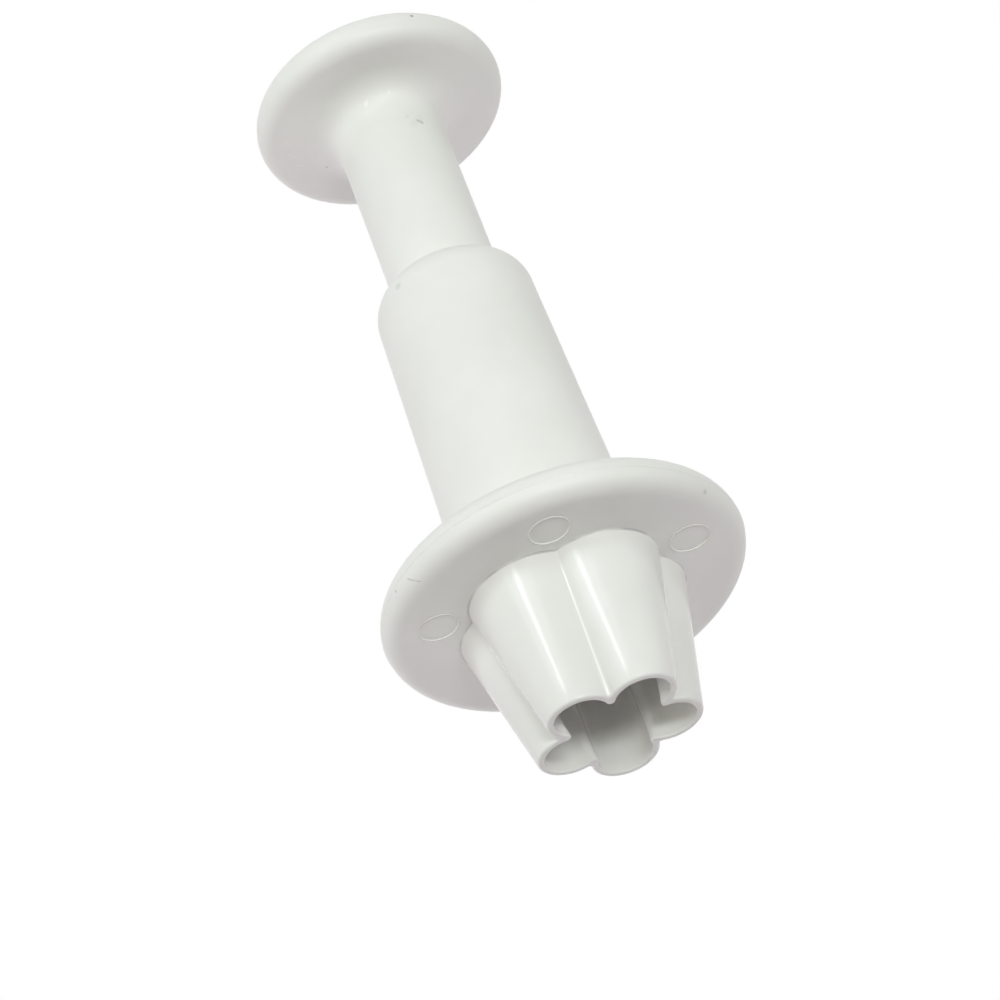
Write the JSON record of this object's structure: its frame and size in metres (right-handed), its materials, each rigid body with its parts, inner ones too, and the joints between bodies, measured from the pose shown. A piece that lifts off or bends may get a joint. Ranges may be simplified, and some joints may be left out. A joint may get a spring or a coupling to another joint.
{
  "type": "plunger cutter",
  "caption": "Spring-loaded plunger cutter with a flower-shaped cutting edge, a finger flange, a barrel and a round thumb knob on a sliding stem.",
  "frame": {"origin": "centre of the cutting edge's plane, on the tool's axis", "axes": "+Z along the axis from the cutting edge to the thumb knob, +Y towards one petal of the flower, -Y towards the groove opposite it, +X to the right"},
  "size_m": [0.032, 0.032, 0.0731],
  "materials": {
    "body_plastic": "white moulded plastic, satin on the barrel and flange and polished on the petals",
    "plunger_plastic": "white moulded plastic with a soft satin surface",
    "ejector_plastic": "white moulded plastic with a plain face",
    "spring_steel": "drawn stainless spring wire"
  },
  "bodies": {
    "cutter": {"cutter_body": "body_plastic", "spring": "spring_steel"},
    "plunger": {"plunger": "plunger_plastic", "ejector": "ejector_plastic"}
  },
  "joints": [
    {"name": "plunger_slide", "type": "slide", "parent": "cutter", "child": "plunger", "axis": [0, 0, -1], "range_m": [0, 0.0114], "stiffness_N_per_m": 300, "springref_m": -0.006, "deforming": ["spring"]}
  ]
}
